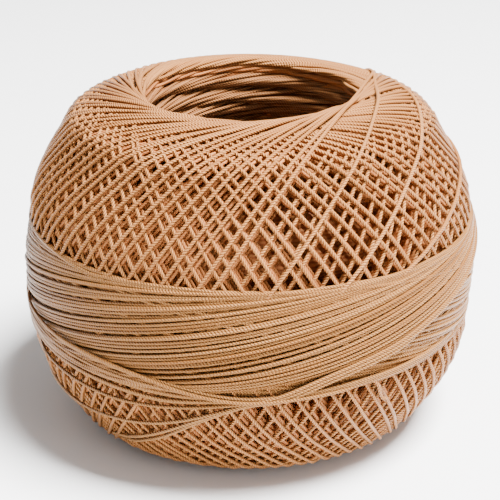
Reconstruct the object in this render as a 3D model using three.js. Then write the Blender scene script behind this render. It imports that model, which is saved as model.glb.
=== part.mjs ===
// A ball of crochet cotton. One continuous thread is wound in tilted turns round a spindle
// that is then drawn out, which leaves an open hole through the axis. The last of the thread
// goes round the belly as a band of nearly level wraps, some of which have slipped down.
// Millimetres, +Z up. The origin is on the hole's axis, on the surface that the ball stands on.

import * as THREE from 'three';

// Size of the whole ball
const BELLY_RADIUS = 29.6;
const UPPER_HEIGHT = 22.4;
const LOWER_HEIGHT = 21.8;
const RIM_RADIUS = 14.3;
const HOLE_RADIUS = 13.2;
const RIM_ROLL = 2.2;
const UPPER_FULLNESS = 2.06;
const LOWER_FULLNESS = 2.45;

// The flat ring on which the ball stands
const FOOT_INNER_RADIUS = 13.9;
const FOOT_OUTER_RADIUS = 17;
const FOOT_CLEARANCE = 0.1;

// Cross-wound turns: each is a tilted ring, and pairs of neighbours lie close together
const TURN_TILT = THREE.MathUtils.degToRad(60);
const TWISTS = 44;
const TWIST_RISE = 0.35;
const TWIST_DIP = 0.95;
const CROWDING = 1.5;
const FIRST_LATTICE_ROW = 3;
const LAST_LATTICE_ROW = 18;
const FOOT_LATTICE_ROW = 16;

// Belly band: its two edges rise and fall once round the ball
const BAND_TOP = { height: 6.4, sway: 1.3, highest: 350 };
const BAND_BOTTOM = { height: -7, sway: 0.9, highest: 310 };
const BAND_RADIUS = 29.85;
const BAND_EDGE_RISE = 0.5;
const BAND_EDGE_SLOPE = 0.35;
const BAND_ROWS = 9;
const BAND_BUNCH_RISE = 0.22;
const BAND_BUNCH_WAVES = 3;

// Wraps that have slipped below the band: azimuth in degrees, height above the belly line
const SLIPPED_WRAPS = [
  [
    { azimuth: 200, height: -8 },
    { azimuth: 220, height: -9.6 },
    { azimuth: 245, height: -9.2 },
    { azimuth: 266, height: -7.6 },
  ],
  [
    { azimuth: 199, height: -9 },
    { azimuth: 214, height: -14.2 },
    { azimuth: 232, height: -13.2 },
    { azimuth: 250, height: -11.4 },
    { azimuth: 266, height: -8 },
  ],
  [
    { azimuth: 197, height: -8.6 },
    { azimuth: 210, height: -15.4 },
    { azimuth: 222, height: -17.6 },
    { azimuth: 238, height: -16 },
    { azimuth: 254, height: -11.8 },
    { azimuth: 266, height: -8.4 },
  ],
];
const SLIPPED_RISE = 0.7;
const SLIPPED_HALF_WIDTH = 1.9;

// Last single turns, laid over the rest: azimuth where each climbs over the belly line, its tilt
const LAST_TURNS = [
  { azimuth: 253.5, tilt: 60 },
  { azimuth: 264.9, tilt: 54 },
  { azimuth: 279.1, tilt: 45 },
  { azimuth: 283.7, tilt: 27.4 },
];
const LAST_TURN_RISE = 0.3;
const LAST_TURN_HALF_WIDTH = 1.3;

// Hole wall: slanting bunches of the first turns
const WALL_ROWS = 8;
const WALL_BUNCH_DEPTH = 0.3;
const WALL_BUNCH_WAVES = 4;
const WALL_BUNCH_PITCH = 5.5;

const COLUMNS = 2 * TWISTS;
const ROW_ANGLE = (2 * Math.PI) / COLUMNS;
const HALF_TURN = Math.PI;

const toRadians = THREE.MathUtils.degToRad;

// Radius of the plain ball at a height above the belly line
function plainRadius(height) {
  const reach = height > 0 ? UPPER_HEIGHT : LOWER_HEIGHT;
  const fullness = height > 0 ? UPPER_FULLNESS : LOWER_FULLNESS;
  const share = Math.min(1, Math.abs(height) / reach);
  const width = (1 - share ** fullness) ** (1 / fullness);
  return RIM_RADIUS + (BELLY_RADIUS - RIM_RADIUS) * width;
}

// Height at which a ray from the ball's middle, at a slope, leaves the plain ball
function heightAtSlope(slope) {
  const reach = slope > 0 ? UPPER_HEIGHT : -LOWER_HEIGHT;
  let inside = 0;
  let outside = reach;
  for (let i = 0; i < 40; i += 1) {
    const middle = (inside + outside) / 2;
    if (Math.abs(middle) < Math.abs(slope) * plainRadius(middle)) inside = middle;
    else outside = middle;
  }
  return inside;
}

// Outward direction of the plain ball at a height, in the radius and height plane
function plainNormal(height) {
  const step = 0.05;
  const low = Math.max(height - step, -LOWER_HEIGHT);
  const high = Math.min(height + step, UPPER_HEIGHT);
  const along = new THREE.Vector2(plainRadius(high) - plainRadius(low), high - low);
  return new THREE.Vector2(along.y, -along.x).normalize();
}

function bandEdge(edge, azimuth) {
  return edge.height + edge.sway * Math.cos(azimuth - toRadians(edge.highest));
}

// Height of a slipped wrap at an azimuth, or null where it is back under the band
function slippedHeight(points, degrees) {
  for (let i = 1; i < points.length; i += 1) {
    const from = points[i - 1];
    const to = points[i];
    if (degrees >= from.azimuth && degrees <= to.azimuth) {
      const share = (degrees - from.azimuth) / (to.azimuth - from.azimuth);
      return THREE.MathUtils.lerp(from.height, to.height, share);
    }
  }
  return null;
}

function slippedRelief(azimuth, height) {
  const degrees = THREE.MathUtils.euclideanModulo(THREE.MathUtils.radToDeg(azimuth), 360);
  let rise = 0;
  for (const points of SLIPPED_WRAPS) {
    const wrapHeight = slippedHeight(points, degrees);
    if (wrapHeight !== null) {
      const away = Math.abs(height - wrapHeight) / SLIPPED_HALF_WIDTH;
      rise = Math.max(rise, SLIPPED_RISE * Math.max(0, 1 - away));
    }
  }
  return rise;
}

// How far a last single turn raises a point of the flank
function lastTurnRelief(azimuth, height) {
  const slope = height / plainRadius(height);
  let rise = 0;
  for (const turn of LAST_TURNS) {
    const round = azimuth - toRadians(turn.azimuth);
    const tilt = toRadians(turn.tilt);
    const off = Math.abs(slope * Math.cos(tilt) - Math.sin(tilt) * Math.sin(round));
    const distance = (off * plainRadius(height)) / Math.sqrt(1 + slope * slope);
    const upper = height > 0 && Math.sin(round) > 0 ? 1 : 0;
    rise = Math.max(rise, upper * LAST_TURN_RISE * Math.max(0, 1 - distance / LAST_TURN_HALF_WIDTH));
  }
  return rise;
}

function flankPoint(azimuth, height, rise) {
  const normal = plainNormal(height);
  const lifted = rise + slippedRelief(azimuth, height) + lastTurnRelief(azimuth, height);
  return {
    radius: plainRadius(height) + normal.x * lifted,
    height: Math.max(height + normal.y * lifted, FOOT_CLEARANCE - LOWER_HEIGHT),
  };
}

// One row of the lattice. Rows lie where the tilted rings cross, so that every ridge runs
// along the diagonals between points, and points between the ridges are sunk. The ridges
// crowd together and flatten towards the rim.
function latticeRow(index) {
  const slope = Math.tan(TURN_TILT) * Math.sin(index * ROW_ANGLE);
  const height = heightAtSlope(slope);
  const crowding = (plainRadius(height) / BELLY_RADIUS) ** CROWDING;
  return (azimuth, column) => {
    const crossing = (column + index) % 2 === 0;
    return flankPoint(azimuth, height, crowding * (crossing ? TWIST_RISE : -TWIST_DIP));
  };
}

// One row of the band: share 0 is its lower edge and share 1 its upper edge
function bandRow(share, row) {
  return (azimuth) => {
    const low = bandEdge(BAND_BOTTOM, azimuth);
    const high = bandEdge(BAND_TOP, azimuth);
    const height = THREE.MathUtils.lerp(low, high, share);
    const middle = (low + high) / 2;
    const edgeRadius = plainRadius(height) + BAND_EDGE_RISE;
    const fromMiddle = Math.abs(height - middle) / ((high - low) / 2);
    const full = THREE.MathUtils.lerp(BAND_RADIUS, edgeRadius, fromMiddle ** 4);
    const phase = row * HALF_TURN + BAND_BUNCH_WAVES * azimuth;
    const bunch = BAND_BUNCH_RISE * Math.cos(phase);
    return { radius: full + bunch, height };
  };
}

// The surface just outside the band's edge, where the band drops to the lattice
function bandFoot(edge, side) {
  return (azimuth) => {
    const height = bandEdge(edge, azimuth) + side * BAND_EDGE_SLOPE;
    return flankPoint(azimuth, height, 0);
  };
}

function rimPoint(angle, side) {
  const radius = RIM_RADIUS - (RIM_RADIUS - HOLE_RADIUS) * Math.sin(angle);
  const height = side > 0 ? UPPER_HEIGHT : -LOWER_HEIGHT;
  return { radius, height: height - side * RIM_ROLL * (1 - Math.cos(angle)) };
}

function rimRow(angle, side) {
  return () => rimPoint(angle, side);
}

function wallRow(share) {
  const top = UPPER_HEIGHT - RIM_ROLL;
  const bottom = -LOWER_HEIGHT + RIM_ROLL;
  const height = THREE.MathUtils.lerp(top, bottom, share);
  return (azimuth) => {
    const turns = height / WALL_BUNCH_PITCH;
    const phase = WALL_BUNCH_WAVES * azimuth + 2 * Math.PI * turns;
    return { radius: HOLE_RADIUS + WALL_BUNCH_DEPTH * (1 + Math.cos(phase)), height };
  };
}

function footRow(radius) {
  return () => ({ radius, height: -LOWER_HEIGHT });
}

// All rows, from the foot up the outside, over the upper rim and down the hole. A lattice
// row keeps its index, which says which of its points are crossings.
function allRows() {
  const rows = [];
  const add = (point, index = null) => rows.push({ point, index });
  add(footRow(FOOT_INNER_RADIUS));
  add(footRow(FOOT_OUTER_RADIUS));
  for (let i = -FOOT_LATTICE_ROW; i <= -FIRST_LATTICE_ROW; i += 1) add(latticeRow(i), i);
  add(bandFoot(BAND_BOTTOM, -1));
  for (let i = 0; i < BAND_ROWS; i += 1) add(bandRow(i / (BAND_ROWS - 1), i));
  add(bandFoot(BAND_TOP, 1));
  for (let i = FIRST_LATTICE_ROW; i <= LAST_LATTICE_ROW; i += 1) add(latticeRow(i), i);
  add(rimRow(0, 1));
  add(rimRow(HALF_TURN / 4, 1));
  add(rimRow(HALF_TURN / 2, 1));
  for (let i = 1; i < WALL_ROWS; i += 1) add(wallRow(i / WALL_ROWS));
  add(rimRow(HALF_TURN / 2, -1));
  return rows;
}

// Joins the rows into one closed ring of faces, each cut along the ridge that crosses it
function woundGeometry() {
  const rows = allRows();
  const positions = [];
  rows.forEach((row) => {
    for (let column = 0; column < COLUMNS; column += 1) {
      const azimuth = column * ROW_ANGLE;
      const point = row.point(azimuth, column);
      const x = point.radius * Math.cos(azimuth);
      const y = point.radius * Math.sin(azimuth);
      positions.push(x, y, point.height + LOWER_HEIGHT);
    }
  });
  const faces = [];
  rows.forEach(({ index }, row) => {
    const above = (row + 1) % rows.length;
    for (let column = 0; column < COLUMNS; column += 1) {
      const next = (column + 1) % COLUMNS;
      const a = row * COLUMNS + column;
      const b = row * COLUMNS + next;
      const c = above * COLUMNS + next;
      const d = above * COLUMNS + column;
      const ridgeRises = index === null || (column + index) % 2 === 0;
      if (ridgeRises) faces.push(a, b, c, a, c, d);
      else faces.push(a, b, d, b, c, d);
    }
  });
  const geometry = new THREE.BufferGeometry();
  geometry.setAttribute('position', new THREE.Float32BufferAttribute(positions, 3));
  geometry.setIndex(faces);
  geometry.computeVertexNormals();
  return geometry;
}

const cotton = new THREE.MeshStandardMaterial({ color: 0xcda073, roughness: 0.75, metalness: 0 });

const ball = new THREE.Mesh(woundGeometry(), cotton);
ball.name = 'wound_ball';

const group = new THREE.Group();
group.name = 'ball_of_crochet_thread';
group.add(ball);

export default group;
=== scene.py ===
import math

import bmesh
import bpy
import numpy as np
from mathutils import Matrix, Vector


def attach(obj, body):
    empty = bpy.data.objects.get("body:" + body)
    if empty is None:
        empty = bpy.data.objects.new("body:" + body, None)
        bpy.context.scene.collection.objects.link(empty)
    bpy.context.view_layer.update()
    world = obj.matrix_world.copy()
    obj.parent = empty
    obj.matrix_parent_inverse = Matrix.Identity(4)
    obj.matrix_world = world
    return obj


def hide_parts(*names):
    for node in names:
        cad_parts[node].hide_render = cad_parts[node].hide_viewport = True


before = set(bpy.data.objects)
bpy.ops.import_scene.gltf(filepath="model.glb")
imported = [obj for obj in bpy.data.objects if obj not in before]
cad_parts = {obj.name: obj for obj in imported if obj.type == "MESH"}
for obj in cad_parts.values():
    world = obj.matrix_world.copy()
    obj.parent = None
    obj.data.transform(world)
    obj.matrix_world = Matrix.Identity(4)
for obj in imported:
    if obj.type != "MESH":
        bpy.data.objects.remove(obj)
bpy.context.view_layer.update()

# Camera
# It stands a little over three diameters from the ball and looks down at 23 degrees. Distance,
# tilt and focal length come from the ball's outline and from both lips of the hole.

MM = 0.001
BELLY_HEIGHT = 21.8
VIEW_DISTANCE = 200.0
VIEW_ELEVATION = math.radians(23.49)
FRAME_PIXELS = 500
FOCAL_PIXELS = 1496.2
BELLY_PIXEL_ROW = 248.05
SENSOR_WIDTH = 36
NEAREST_SEEN = 10.0

camera_data = bpy.data.cameras.new("camera")
camera_data.sensor_width = SENSOR_WIDTH
camera_data.lens = FOCAL_PIXELS / FRAME_PIXELS * SENSOR_WIDTH
camera_data.shift_y = (BELLY_PIXEL_ROW - FRAME_PIXELS / 2) / FRAME_PIXELS
camera_data.clip_start = NEAREST_SEEN * MM
camera = bpy.data.objects.new("camera", camera_data)
bpy.context.collection.objects.link(camera)
aim = Vector((0, 0, BELLY_HEIGHT)) * MM
back = Vector((0, -math.cos(VIEW_ELEVATION), math.sin(VIEW_ELEVATION)))
camera.location = aim + back * VIEW_DISTANCE * MM
camera.rotation_euler = back.to_track_quat("Z", "Y").to_euler()
bpy.context.scene.camera = camera


# Floor and light
# A white paper sweep in a bright white room, with a soft lamp high on the right and a weak one
# low at the front right.

FLOOR_REACH = 1500.0


def add_node(tree, kind, links=(), **settings):
    """Adds a node, sets its values and links {socket: output} pairs into it."""
    node = tree.nodes.new(kind)
    for name, value in settings.items():
        if hasattr(node, name):
            setattr(node, name, value)
        else:
            node.inputs[name.replace("_", " ")].default_value = value
    for socket, output in dict(links).items():
        tree.links.new(output, node.inputs[socket])
    return node


def linear(hex_colour):
    """A linear colour from an sRGB hex value."""
    parts = [int(hex_colour[i:i + 2], 16) / 255 for i in (0, 2, 4)]
    return tuple(p / 12.92 if p <= 0.04045 else ((p + 0.055) / 1.055) ** 2.4 for p in parts) + (1,)


floor_mesh = bmesh.new()
bmesh.ops.create_grid(floor_mesh, x_segments=2, y_segments=2, size=FLOOR_REACH * MM)
floor_data = bpy.data.meshes.new("floor")
floor_mesh.to_mesh(floor_data)
floor_mesh.free()
floor = bpy.data.objects.new("floor", floor_data)
bpy.context.collection.objects.link(floor)

# Uncoated paper: no shine, and it throws light back up under the ball.
paper = bpy.data.materials.new("white paper sweep")
paper.use_nodes = True
paper_shader = paper.node_tree.nodes["Principled BSDF"]
paper_shader.inputs["Base Color"].default_value = linear("F0F0F0")
paper_shader.inputs["Roughness"].default_value = 0.9
floor_data.materials.append(paper)

sky = bpy.data.worlds.new("white room")
bpy.context.scene.world = sky
sky.use_nodes = True
sky.node_tree.nodes["Background"].inputs["Color"].default_value = (1, 1, 1, 1)
sky.node_tree.nodes["Background"].inputs["Strength"].default_value = 0.55


def add_lamp(name, azimuth, elevation, distance, size, power):
    """A square soft lamp that looks at the ball. Its distance and size are in metres."""
    data = bpy.data.lights.new(name, "AREA")
    data.shape = "SQUARE"
    data.size = size
    data.energy = power
    lamp = bpy.data.objects.new(name, data)
    bpy.context.collection.objects.link(lamp)
    a, e = math.radians(azimuth), math.radians(elevation)
    away = Vector((math.cos(e) * math.cos(a), math.cos(e) * math.sin(a), math.sin(e)))
    lamp.location = aim + away * distance
    lamp.rotation_euler = away.to_track_quat("Z", "Y").to_euler()


add_lamp("top lamp", azimuth=-25, elevation=68, distance=0.5, size=0.2, power=22.0)
add_lamp("side lamp", azimuth=-40, elevation=14, distance=0.5, size=0.3, power=1.0)


# Cross-wound body
# One thread of mercerised cotton, wound in tilted turns that follow each other round the axis.
# Each turn is pulled taut over the turns below, and touches them only where they cross.

BELLY_RADIUS = 29.55
UPPER_HEIGHT = 22.2
LOWER_HEIGHT = 21.5
RIM_RADIUS = 14.2
UPPER_FULLNESS = 2.06
LOWER_FULLNESS = 2.45
HOLE_RADIUS = 13.45
THREAD = 0.47

# Threads flatten each other where they cross, to this share of their thickness.
PRESSED = 0.8

AZIMUTH_CELLS = 1280
LATITUDE_CELLS = 440
TOP_LATITUDE = math.radians(61)
HALVINGS = 40
NEARLY_LEVEL = 1e-6


def plain_radius(height):
    """Radius of the wound ball at a height above the belly line, in millimetres."""
    reach = np.where(height > 0, UPPER_HEIGHT, LOWER_HEIGHT)
    fullness = np.where(height > 0, UPPER_FULLNESS, LOWER_FULLNESS)
    share = np.clip(np.abs(height) / reach, 0, 1)
    return RIM_RADIUS + (BELLY_RADIUS - RIM_RADIUS) * (1 - share ** fullness) ** (1 / fullness)


def reach_at(latitude):
    """Distance from the ball's middle to its plain surface, along a latitude."""
    slope = np.tan(latitude)
    inside = np.zeros_like(latitude)
    outside = np.where(latitude > 0, UPPER_HEIGHT, -LOWER_HEIGHT)
    for _ in range(HALVINGS):
        middle = (inside + outside) / 2
        short = np.abs(middle) < np.abs(slope) * plain_radius(middle)
        inside = np.where(short, middle, inside)
        outside = np.where(short, outside, middle)
    steep = np.abs(slope) > NEARLY_LEVEL
    radius = np.where(steep, inside / np.where(slope == 0, 1, slope), BELLY_RADIUS)
    return np.hypot(radius, inside)


def eased(value, low, high):
    """A smooth step from 0 at low to 1 at high."""
    share = np.clip((value - low) / (high - low), 0, 1)
    return share * share * (3 - 2 * share)


cell_latitudes = np.linspace(-TOP_LATITUDE, TOP_LATITUDE, LATITUDE_CELLS)
cell_reach = reach_at(cell_latitudes)
cell_step = cell_latitudes[1] - cell_latitudes[0]
azimuth_step = 2 * math.pi / AZIMUTH_CELLS
NEIGHBOURS = [(i, j) for i in range(-3, 4) for j in range(-2, 3)]
NO_THREAD = -99.0


class Pile:
    """Height of the wound thread over every azimuth and latitude, above the plain ball."""

    def __init__(self, depth):
        self.height = np.tile(-depth, (AZIMUTH_CELLS, 1))

    def cells_near(self, azimuth, latitude, radius):
        """Cells beside each point of a path, with the thread's half height over them."""
        i0 = np.rint(azimuth / azimuth_step).astype(int)
        j0 = np.rint((latitude + TOP_LATITUDE) / cell_step).astype(int)
        for di, dj in NEIGHBOURS:
            i, j = i0 + di, np.clip(j0 + dj, 0, LATITUDE_CELLS - 1)
            across = (i * azimuth_step - azimuth) * np.cos(latitude)
            along = cell_latitudes[j] - latitude
            share = 1 - (np.hypot(across, along) * radius / (THREAD / 2)) ** 2
            half = THREAD / 2 * PRESSED * np.sqrt(np.clip(share, 0, 1))
            yield i % AZIMUTH_CELLS, j, share > 0, half

    def support(self, azimuth, latitude, reach):
        """Lowest height at which a thread's axis clears the pile."""
        lowest = np.full(azimuth.shape, NO_THREAD)
        for i, j, over, half in self.cells_near(azimuth, latitude, reach):
            lowest = np.maximum(lowest, np.where(over, self.height[i, j] + half, NO_THREAD))
        return lowest

    def add(self, azimuth, latitude, reach, height):
        """Raises the pile under a thread's axis."""
        for i, j, over, half in self.cells_near(azimuth, latitude, reach):
            np.maximum.at(self.height, (i, j), np.where(over, height + half, NO_THREAD))


def pull_taut(angle, radius, closed):
    """The string over a row of pegs, given by angle and radius in the string's plane."""
    start = int(np.argmax(radius)) if closed else 0
    order = np.arange(start, len(angle))
    if closed:
        order = np.r_[order, np.arange(0, start + 1)]
    second_round = np.arange(len(order)) >= len(angle) - start
    turned = angle[order] + np.where(second_round, 2 * math.pi * closed, 0)
    far = radius[order]
    x = far * np.cos(turned)
    y = far * np.sin(turned)
    kept = []
    for k in range(len(order)):
        while len(kept) > 1:
            a, b = kept[-2], kept[-1]
            if (x[b] - x[a]) * (y[k] - y[b]) - (y[b] - y[a]) * (x[k] - x[b]) > 0:
                break
            kept.pop()
        kept.append(k)
    kept = np.array(kept)
    span = np.searchsorted(kept, np.arange(len(order)), side="right") - 1
    span = np.clip(span, 0, len(kept) - 2)
    a, b = kept[span], kept[span + 1]
    inverse = (np.sin(turned[b] - turned) / far[a] + np.sin(turned - turned[a]) / far[b])
    taut = np.empty(len(angle))
    taut[order] = np.sin(turned[b] - turned[a]) / inverse
    return np.maximum(taut, radius)


# How far a taut span may rise over the ceiling
SPRING = 0.15


def lay_thread(pile, around, latitude, ceiling, pressed_in, closed=True):
    """Lays a thread on the pile, no higher than the ceiling, and at it where it's pressed in.

    Over the foot, the floor holds the thread up.
    """
    around = np.mod(around, 2 * math.pi)
    reach = np.interp(latitude, cell_latitudes, cell_reach)
    turn = np.mod(np.roll(around, -1) - around + math.pi, 2 * math.pi) - math.pi
    step = np.hypot(turn * np.cos(latitude), np.roll(latitude, -1) - latitude)
    angle = np.r_[0, np.cumsum(step[:-1])]
    if closed:
        angle = angle * 2 * math.pi / step.sum()
    rest = np.minimum(pile.support(around, latitude, reach), ceiling)
    rest = reach + rest + (ceiling - rest) * pressed_in
    radius = np.minimum(pull_taut(angle, rest, closed), reach + ceiling + SPRING)
    pile.add(around, latitude, reach, radius - reach)
    flat = np.maximum(radius * np.cos(latitude), HOLE_RADIUS)
    height = np.maximum(radius * np.sin(latitude), THREAD / 2 - BELLY_HEIGHT)
    return np.stack([flat * np.cos(around), flat * np.sin(around), height], -1)


LAYERS = 4
TURNS_A_LAYER = 84
LAYER_SHIFT = 0.14
PITCH = 2 * math.pi / (TURNS_A_LAYER + LAYER_SHIFT)
LAST_TURN_AZIMUTH = math.radians(253.5)
PATH_STEPS = 504
WHOLE_TURN = slice(None)
round_turn = np.arange(PATH_STEPS) / PATH_STEPS * 2 * math.pi

# Turns pass the rim tangent to the hole, and each layer's pass lies over the one before.
FULL_TILT = math.radians(59.2)
RIM_REACH = 26.3
RIM_GROWTH = 1.15
RIM_DIP = 0.8
RIM_LEAN = 2.6
LEAN_SPREAD = math.radians(25)
DROOP_POWER = 4
SHOULDER_START = math.radians(36)
SHOULDER_END = math.radians(55)
OPEN_CEILING = 0.9


def wind_turn(pile, azimuth, tilt, turns_left, part=WHOLE_TURN, slack=0.0):
    """Lays one tilted turn, which climbs over the belly line at an azimuth and passes the rim."""
    rim = RIM_REACH - RIM_GROWTH * max(turns_left, 0) / TURNS_A_LAYER
    droop = slack + FULL_TILT - math.acos(HOLE_RADIUS / rim)
    latitude = np.arcsin(math.sin(tilt) * np.sin(round_turn[part]))
    latitude = latitude - droop * np.sign(latitude) * (np.abs(latitude) / FULL_TILT) ** DROOP_POWER
    turned = np.arctan2(np.sin(round_turn[part]) * math.cos(tilt), np.cos(round_turn[part]))
    shoulder = eased(np.abs(latitude), SHOULDER_START, SHOULDER_END)
    past_rim = np.arcsin(-np.cos(turned)) * np.sign(latitude)
    lean = -RIM_LEAN * np.sin(past_rim) * np.exp(-(past_rim / LEAN_SPREAD) ** 2)
    growth = RIM_GROWTH * turns_left / TURNS_A_LAYER
    ceiling = OPEN_CEILING + shoulder * (lean - RIM_DIP - growth)
    return lay_thread(pile, azimuth + turned, latitude, ceiling, shoulder, part == WHOLE_TURN)


# Unevenness of the winding: azimuths in pitches of the turns, tilts in degrees
DRIFT = 0.08
PAIR_SHIFT = 0.07
TURN_SPREAD = 0.05
TILT_SPREAD = 0.15
RIM_SLACK = math.radians(2.0)


def wind_body(depth):
    """Winds all layers over a core that lies a depth below the plain ball."""
    pile = Pile(depth)
    draws = np.random.default_rng(7)
    drift = np.cumsum(draws.normal(0, DRIFT, TURNS_A_LAYER))
    drift = drift - np.linspace(0, drift[-1], TURNS_A_LAYER)
    slack = RIM_SLACK * draws.random(TURNS_A_LAYER)
    layers = []
    for layer in range(LAYERS):
        paths = []
        for k in range(TURNS_A_LAYER):
            left = (LAYERS - 1 - layer) * TURNS_A_LAYER + TURNS_A_LAYER - 1 - k
            tilt = FULL_TILT + math.radians(draws.normal(0, TILT_SPREAD))
            shift = PAIR_SHIFT * (-1) ** k + drift[k] + draws.normal(0, TURN_SPREAD)
            azimuth = LAST_TURN_AZIMUTH + PITCH * (shift - left)
            paths.append(wind_turn(pile, azimuth, tilt, left, slack=slack[k]))
        layers.append(paths)
    return pile, layers


# The body is wound a few times over. Each time the core starts at a depth that brings the crests
# of the finished pile nearer to the plain ball, or under the belly band to a hollow for it.
WINDING_ROUNDS = 4
FIRST_DEPTH = 3.2
DEPTH_GAIN = 0.9
CREST_PERCENTILE = 75
CREST_CELLS = 9
TOUCHED = 0.001
BARELY_COVERED = 0.15
BAND_HOLLOW = 0.9
HOLLOW_EDGE = (math.radians(9), math.radians(18))
OPEN_DEPTH = 5.0
RIM_SHALLOWER = 2.1
RIM_EDGE = (math.radians(38), math.radians(47))

depth = np.full(LATITUDE_CELLS, FIRST_DEPTH)
for _ in range(WINDING_ROUNDS):
    pile, layers = wind_body(depth)
    covered = pile.height > -depth + TOUCHED
    wound = np.flatnonzero(covered.mean(axis=0) > BARELY_COVERED)
    crest = [np.percentile(pile.height[covered[:, j], j], CREST_PERCENTILE) for j in wound]
    crest = np.pad(np.interp(np.arange(LATITUDE_CELLS), wound, crest), CREST_CELLS // 2, mode="edge")
    near = np.convolve(crest, np.ones(CREST_CELLS) / CREST_CELLS, mode="valid")
    hollow = BAND_HOLLOW - BAND_HOLLOW * eased(np.abs(cell_latitudes), *HOLLOW_EDGE)
    deepest = OPEN_DEPTH - RIM_SHALLOWER * eased(np.abs(cell_latitudes), *RIM_EDGE)
    depth = np.clip(depth + (near + hollow) * DEPTH_GAIN, 0, deepest)

# The real twist is finer than this and would blur away at this size, so it is drawn coarser.
RIDGE_SPACING = 0.40
PLIES = 3
THREAD_SIDES = 6
shade_draws = np.random.default_rng(11)


def thread_material(name, crease_shade, dark_tan, light_tan, relief):
    """Mercerised cotton: plies twisted tight, with painted shade in the creases between them and a soft
    shine that is golden on their ridges.
    """
    material = bpy.data.materials.new(name)
    material.use_nodes = True
    tree = material.node_tree
    shader = tree.nodes["Principled BSDF"]
    uv = add_node(tree, "ShaderNodeUVMap", uv_map="UVMap")
    parts = add_node(tree, "ShaderNodeSeparateXYZ", links={"Vector": uv.outputs["UV"]})
    length = add_node(tree, "ShaderNodeAttribute", attribute_name="turn_ridges")
    along = add_node(tree, "ShaderNodeMath", operation="MULTIPLY",
                     links={0: parts.outputs["X"], 1: length.outputs["Fac"]})
    around = add_node(tree, "ShaderNodeMath", operation="MULTIPLY_ADD",
                      links={0: parts.outputs["Y"], 2: along.outputs[0]})
    around.inputs[1].default_value = -PLIES
    phase = add_node(tree, "ShaderNodeMath", operation="MULTIPLY", links={0: around.outputs[0]})
    phase.inputs[1].default_value = 2 * math.pi
    wave = add_node(tree, "ShaderNodeMath", operation="SINE", links={0: phase.outputs[0]})
    ridge = add_node(tree, "ShaderNodeMath", operation="MULTIPLY_ADD", links={0: wave.outputs[0]})
    ridge.inputs[1].default_value = 0.5
    ridge.inputs[2].default_value = 0.5
    shade = add_node(tree, "ShaderNodeAttribute", attribute_name="turn_shade")
    tint = add_node(tree, "ShaderNodeMix", data_type="RGBA", links={0: shade.outputs["Fac"]})
    tint.inputs[6].default_value = linear(dark_tan)
    tint.inputs[7].default_value = linear(light_tan)
    # Painted shade: the creases between the plies take a darker, redder brown.
    crease = add_node(tree, "ShaderNodeMix", data_type="RGBA",
                      links={0: ridge.outputs[0], 7: tint.outputs[2]})
    crease.inputs[6].default_value = linear(crease_shade)
    bump = add_node(tree, "ShaderNodeBump", links={"Height": ridge.outputs[0]})
    bump.inputs["Strength"].default_value = 1.0
    bump.inputs["Distance"].default_value = relief * MM
    tree.links.new(crease.outputs[2], shader.inputs["Base Color"])
    tree.links.new(bump.outputs[0], shader.inputs["Normal"])
    shader.inputs["Roughness"].default_value = 0.36
    shader.inputs["Specular IOR Level"].default_value = 0.4
    shader.inputs["Specular Tint"].default_value = linear("F0B070")
    return material


def thread_piece(name, paths, material, closed=True, thickness=THREAD, shades=(0.4, 1)):
    """One mesh of many turns of thread, each a tube round its path, in millimetres."""
    curve = bpy.data.curves.new(name, "CURVE")
    curve.dimensions = "3D"
    curve.bevel_depth = thickness / 2 * MM
    curve.bevel_resolution = THREAD_SIDES // 2 - 2
    for path in paths:
        spline = curve.splines.new("POLY")
        spline.points.add(len(path) - 1)
        lifted = path * MM + np.array([0, 0, BELLY_HEIGHT * MM])
        spline.points.foreach_set("co", np.c_[lifted, np.ones(len(path))].ravel())
        spline.use_cyclic_u = closed
        spline.use_smooth = True
    maker = bpy.data.objects.new(name + "_curve", curve)
    bpy.context.collection.objects.link(maker)
    graph = bpy.context.evaluated_depsgraph_get()
    mesh = bpy.data.meshes.new_from_object(maker.evaluated_get(graph))
    bpy.data.objects.remove(maker)
    bpy.data.curves.remove(curve)
    mesh.name = name
    mesh.materials.clear()
    mesh.materials.append(material)
    points = [len(path) * THREAD_SIDES for path in paths]
    runs = [np.linalg.norm(np.diff(path, axis=0), axis=1).sum() for path in paths]
    ridges = np.round(np.array(runs) / RIDGE_SPACING)
    shade = shade_draws.uniform(*shades, len(paths))
    for label, values in (("turn_shade", shade), ("turn_ridges", ridges)):
        attribute = mesh.attributes.new(label, "FLOAT", "POINT")
        attribute.data.foreach_set("value", np.repeat(values, points).astype(np.float32))
    piece = bpy.data.objects.new(name, mesh)
    bpy.context.collection.objects.link(piece)
    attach(piece, "root")


# Tan cotton of the outer turns: pale crests, painted shade in brown creases, and a sheen that shows the
# twist.
cotton = thread_material("mercerised cotton thread", "6C3E20", "8C5A2B", "B47E4A", 0.07)

# The same cotton deeper down, where the twist no longer shows: its tan is painted warmer and redder,
# for the warm light bounced between the turns.
inner_cotton = thread_material("cotton thread under the open turns", "8A4E28", "9A5E34", "AE7242", 0.02)

# The outermost layer has the finest steps.
LAYER_STRIDES = (4, 4, 4, 3)
for number, (paths, stride) in enumerate(zip(layers, LAYER_STRIDES), 1):
    finish = cotton if number == LAYERS else inner_cotton
    thread_piece(f"cross_wound_turns_{number}", [p[::stride] for p in paths], finish)


# Last turns before the band
# The same thread. The tilt drops turn by turn, so three lone turns lie far apart over the
# finished lattice. Their lower halves have slipped, and belong to the strands under the band.

LAST_TURNS = ((264.9, 54.0), (279.1, 45.25), (283.7, 27.4))
UNDER_BAND = math.radians(11.5)
LAST_STRIDE = 2

# Counted on past the last regular turn, so that they lie clear of it at the rim
LAST_TURNS_LEFT = -8

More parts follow.
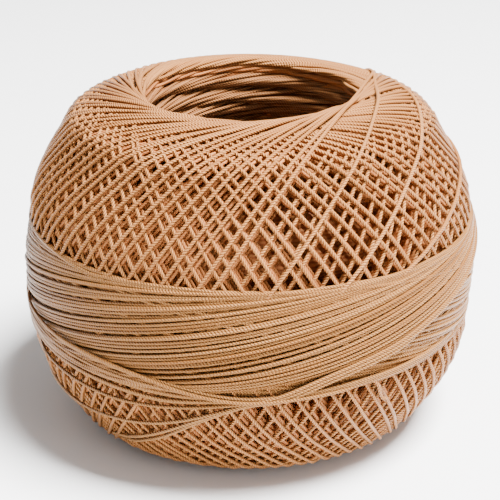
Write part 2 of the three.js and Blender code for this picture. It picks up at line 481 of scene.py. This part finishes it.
last_paths = []
for azimuth, tilt in LAST_TURNS:
    hidden_share = math.asin(math.sin(UNDER_BAND) / math.sin(math.radians(tilt))) / (2 * math.pi)
    hidden = int(hidden_share * PATH_STEPS)
    upper_half = slice(hidden, PATH_STEPS // 2 - hidden)
    path = wind_turn(pile, math.radians(azimuth), math.radians(tilt), LAST_TURNS_LEFT, upper_half)
    last_paths.append(path[::LAST_STRIDE])
thread_piece("last_single_turns", last_paths, cotton, closed=False)


# Wall of the hole
# Where turns of the same thread passed the winding spindle, each left a short arc against the
# hole. They lie one below the other in a slow spiral of small bunches, and away from the two
# rims the wall stands back, so it lies in shade.

WALL_ARCS_A_ROUND = 60
WALL_ROUNDS = 18
WALL_TOP = 20.6
WALL_RISE = 2.2
WALL_HEIGHT_SPREAD = 0.14
WALL_LEAN = 8
WALL_LEAN_SPREAD = 1.5
WALL_CLEARANCE = 0.05
WALL_DEPTH_SPREAD = 0.12
WALL_FACE_END = 14.6
WALL_FACE_EDGE = 0.3
WALL_RECESS = 1.6
WALL_FLARE = 0.65
WALL_HALF_ARC = 30
WALL_ARC_POINTS = 11
arc = np.radians(np.linspace(-WALL_HALF_ARC, WALL_HALF_ARC, WALL_ARC_POINTS))
wall_draws = np.random.default_rng(5)
wall_paths = []
for k in range(WALL_ARCS_A_ROUND * WALL_ROUNDS):
    middle = LAST_TURN_AZIMUTH + math.pi / 2 - 2 * math.pi * k / WALL_ARCS_A_ROUND
    height = WALL_TOP - WALL_RISE * k / WALL_ARCS_A_ROUND + wall_draws.normal(0, WALL_HEIGHT_SPREAD)
    lean = math.radians(WALL_LEAN + wall_draws.normal(0, WALL_LEAN_SPREAD))
    recess = WALL_RECESS * (1 - eased(abs(height), WALL_FACE_END, WALL_FACE_END + WALL_FACE_EDGE))
    inner = HOLE_RADIUS + WALL_CLEARANCE + abs(wall_draws.normal(0, WALL_DEPTH_SPREAD)) + recess
    around = middle + arc
    radius = inner / np.cos(arc) ** WALL_FLARE
    z = height - np.tan(lean) * np.tan(arc) * inner
    wall_paths.append(np.stack([radius * np.cos(around), radius * np.sin(around), z], -1))

# The same cotton on the wall of the hole, painted a little browner and darker as shade in the hole, and
# its twist less sharp.
wall_cotton = thread_material("cotton thread in the shade of the hole", "5C3619", "784C2C", "986842", 0.06)
thread_piece("hole_wall_turns", wall_paths, wall_cotton, closed=False)


# Packed core
# The older turns under the open lattice, of the same thread, wound so close that only their
# rows show in the gaps. One turned ring stands in for them, from the wall of the hole outwards.

CORE_SEGMENTS = 120
CORE_ROWS = 73
CORE_LATITUDE = 54
CORE_GAP = 0.15
CORE_WALL_RADIUS = 15.8
core_latitudes = np.radians(np.linspace(-CORE_LATITUDE, CORE_LATITUDE, CORE_ROWS))
core_reach = np.interp(core_latitudes, cell_latitudes, cell_reach - depth - CORE_GAP)
core_mesh = bmesh.new()
outline = [(float(r * math.cos(a)), float(r * math.sin(a))) for r, a in zip(core_reach, core_latitudes)]
outline = [(CORE_WALL_RADIUS, outline[0][1])] + outline + [(CORE_WALL_RADIUS, outline[-1][1])]
ring = [core_mesh.verts.new(Vector((r, 0, z + BELLY_HEIGHT)) * MM) for r, z in outline]
edges = [core_mesh.edges.new((a, b)) for a, b in zip(ring, ring[1:] + ring[:1])]
bmesh.ops.spin(core_mesh, geom=ring + edges, cent=(0, 0, 0), axis=(0, 0, 1), angle=2 * math.pi,
               steps=CORE_SEGMENTS, use_merge=True)
bmesh.ops.recalc_face_normals(core_mesh, faces=core_mesh.faces)
core_data = bpy.data.meshes.new("packed_core")
core_mesh.to_mesh(core_data)
core_mesh.free()
core = bpy.data.objects.new("packed_core", core_data)
bpy.context.collection.objects.link(core)

# Cotton packed row on row: dull, painted a warm brown for the light bounced in the gaps, with stripes
# of painted shade between the rows at the spacing of the thread.
# At a scale of 1 the wave texture repeats every pi / 10.
WAVE_PERIOD = math.pi / 10
packed = bpy.data.materials.new("packed cotton thread")
packed.use_nodes = True
packed_shader = packed.node_tree.nodes["Principled BSDF"]
packed_shader.inputs["Specular IOR Level"].default_value = 0.1
place = add_node(packed.node_tree, "ShaderNodeTexCoord")
rows = add_node(packed.node_tree, "ShaderNodeTexWave", links={"Vector": place.outputs["Object"]},
                bands_direction="Z", Scale=WAVE_PERIOD / (THREAD * MM), Distortion=3.0, Detail=1.0)
rows_colour = add_node(packed.node_tree, "ShaderNodeMix", data_type="RGBA",
                       links={0: rows.outputs["Fac"]})
rows_colour.inputs[6].default_value = linear("9A5630")
rows_colour.inputs[7].default_value = linear("C27E4C")
packed.node_tree.links.new(rows_colour.outputs[2], packed_shader.inputs["Base Color"])
core_data.materials.append(packed)
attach(core, "root")
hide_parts("wound_ball")


# Belly band
# The last of the thread, wound nearly level in some ninety turns. They lean by 13 degrees and
# follow each other round, so on one side the threads climb, and where the later turns stop
# short the older ones lean the other way.

BAND_TURNS = 92
BAND_STEPS = 126
BAND_TILT = 12.9
BAND_TILT_SPREAD = 0.35
BAND_LAST_AZIMUTH = 319.0
BAND_PITCH_SPREAD = 0.2
BAND_THREAD = 0.44
BAND_LIFT = 0.14
BAND_EDGE_DROP = 0.12
BAND_EDGE = (math.radians(3), math.radians(13))
BAND_BUILD = 0.80
BAND_LIFT_SPREAD = 0.09
band_draws = np.random.default_rng(3)
band_around = np.arange(BAND_STEPS) / BAND_STEPS * 2 * math.pi
band_paths = []
for k in range(BAND_TURNS):
    left = BAND_TURNS - 1 - k
    tilt = math.radians(BAND_TILT + band_draws.normal(0, BAND_TILT_SPREAD))
    azimuth = math.radians(BAND_LAST_AZIMUTH) - PITCH * (left + band_draws.normal(0, BAND_PITCH_SPREAD))
    latitude = np.arctan(math.tan(tilt) * np.sin(band_around - azimuth))
    lift = BAND_LIFT - BAND_EDGE_DROP * eased(np.abs(latitude), *BAND_EDGE)
    lift = lift - BAND_BUILD * left / BAND_TURNS + band_draws.normal(0, BAND_LIFT_SPREAD)
    radius = np.interp(latitude, cell_latitudes, cell_reach) + lift
    flat = radius * np.cos(latitude)
    path = [flat * np.cos(band_around), flat * np.sin(band_around), radius * np.sin(latitude)]
    band_paths.append(np.stack(path, -1))

# The same cotton laid level: it turns less of its sheen to the light, so it is painted as shade, a
# little darker and greyer than the outer turns, its turns taken from the darker end of the tan.
band_cotton = thread_material("cotton thread laid level", "64391C", "82582A", "A87C4A", 0.07)
thread_piece("belly_band_turns", band_paths, band_cotton, thickness=BAND_THREAD, shades=(0, 0.8))


# Over-wraps and slipped wraps
# The very last turns of the thread lie over the band as a few loose strands. At the front left
# they have slid off its lower edge, gather in one spot, and climb over the band to the right.

ROUNDING_DEGREES = 7
ROUNDING_PASSES = 2
END_DEPTH = 0.9
END_FADE = 15


def lie_over(points, lift, fade=END_FADE):
    """A strand through azimuths in degrees and heights in mm, with both ends sunk in the ball."""
    azimuths, heights = zip(*points)
    fine = np.arange(azimuths[0], azimuths[-1] + 0.1, 1.0)
    height = np.interp(fine, azimuths, heights)
    ends = height[[0, -1]]
    for _ in range(ROUNDING_PASSES):
        padded = np.pad(height, ROUNDING_DEGREES // 2, mode="reflect", reflect_type="odd")
        height = np.convolve(padded, np.ones(ROUNDING_DEGREES) / ROUNDING_DEGREES, mode="valid")
    height[[0, -1]] = ends
    from_start = eased(fine, fine[0], fine[0] + fade)
    from_end = eased(-fine, -fine[-1], fade - fine[-1])
    radius = plain_radius(height) + lift - END_DEPTH * (1 - np.minimum(from_start, from_end))
    around = np.radians(fine)
    return np.stack([radius * np.cos(around), radius * np.sin(around), height], -1)


# A lone turn's lower half, in degrees after its climb and before the first point where it slipped
BEHIND_START = 172
BEHIND_END = 9
BEHIND_STEP = 4.0


def under_half(azimuth, tilt, front):
    """Lower half of a lone turn, whose front end has slipped through the points given."""
    behind = np.arange(azimuth - BEHIND_START, front[0][0] - BEHIND_END, BEHIND_STEP)
    latitude = np.arctan(math.tan(math.radians(tilt)) * np.sin(np.radians(behind - azimuth)))
    height = np.interp(latitude, cell_latitudes, cell_reach) * np.sin(latitude)
    return list(zip(behind, height)) + list(front)


over_right = ((276, -6.6), (282, -5.3), (288, -4.1), (297, -2.9), (306, -2.0), (314, -0.8), (323, 0.4),
              (332, 1.5), (345, 3.3), (360, 5.0), (375, 6.1), (390, 6.6))
top_strand = ((186, -2.6), (201, -3.3), (214, -3.8), (225, -4.0), (233, -4.2), (241, -4.6), (247, -5.1),
              (253, -5.9), (259, -6.5), (264, -6.9), (270, -7.1), (280, -6.8), (292, -6.4), (304, -6.2))
first_slip = ((192, -7.4), (204, -8.7), (213, -9.2), (224, -9.4), (235, -9.5), (242, -9.2), (248, -8.9),
              (256, -8.3), (264, -7.6), (270, -7.2))
second_slip = ((205, -14.2), (215, -14.2), (223, -13.9), (229, -13.5), (235, -13.0), (243, -12.3),
               (253, -10.7), (261, -9.0), (268, -7.6), (272, -7.0))
tail_slip = ((248, -14.0), (253, -12.0), (257, -10.6), (262, -9.1), (267, -7.9), (272, -7.0))
loop_slip = ((224, -18.2), (232, -17.0), (238, -15.7), (244, -14.2), (249, -12.7), (254, -11.2),
             (260, -9.4), (266, -8.0), (271, -7.1))
below_first = [(a, h - 0.45) for a, h in over_right]
below_second = [(a, h - 0.9) for a, h in over_right[:7]]
last_turn, middle_turn, first_turn = reversed(LAST_TURNS)
strands = [lie_over(first_slip + over_right, lift=0.32),
           lie_over(under_half(*last_turn, second_slip) + below_first, lift=0.34),
           lie_over(under_half(*middle_turn, tail_slip) + below_second, lift=0.34),
           lie_over(under_half(*first_turn, loop_slip), lift=0.4, fade=6),
           lie_over(top_strand, lift=0.5)]

# Eight more run in from the left, dip to the gathering spot and follow the band's lower edge.
LEVEL_STRANDS = 8
LEVEL_FADE = 40
for k in range(LEVEL_STRANDS):
    low = 3.9 + 0.50 * k + 0.12 * (-1) ** k
    level = [(130, -low + 2.2), (160, -low + 0.9), (190, -low), (205, -low - 0.1),
             (220, -low - 0.3), (235, -low - 0.5), (250, -max(low + 0.8, 5.2 + 0.25 * k)),
             (262, -6.3 - 0.13 * k), (270, -6.75 - 0.08 * k)]
    edge = [(282, -6.2 - 0.08 * k), (296, -5.7 - 0.08 * k), (310, -5.5 - 0.08 * k),
            (325, -5.4 - 0.09 * k), (345, -5.9 - 0.1 * k)]
    strands.append(lie_over(level + edge, lift=0.18 - 0.09 * (k % 3), fade=LEVEL_FADE))
thread_piece("loose_over_wraps", strands, band_cotton, closed=False, thickness=BAND_THREAD)


# Short cut end
# A stub of the thread, under five millimetres long, that comes out from under the band at the
# front right and points down. Its last point stands off the ball.

cut_end = ((299.5, -5.6), (300.6, -6.3), (301.5, -7.0), (302.3, -8.1), (303.4, -9.2), (304.3, -9.5))
stub_lift = np.array((-0.3, 0.1, 0.35, 0.35, 0.3, 0.55))
stub_azimuth, stub_height = (np.array(values) for values in zip(*cut_end))
stub_radius = plain_radius(stub_height) + stub_lift
stub_around = np.radians(stub_azimuth)
stub = np.stack([stub_radius * np.cos(stub_around), stub_radius * np.sin(stub_around), stub_height], -1)
thread_piece("short_cut_end", [stub], cotton, closed=False)
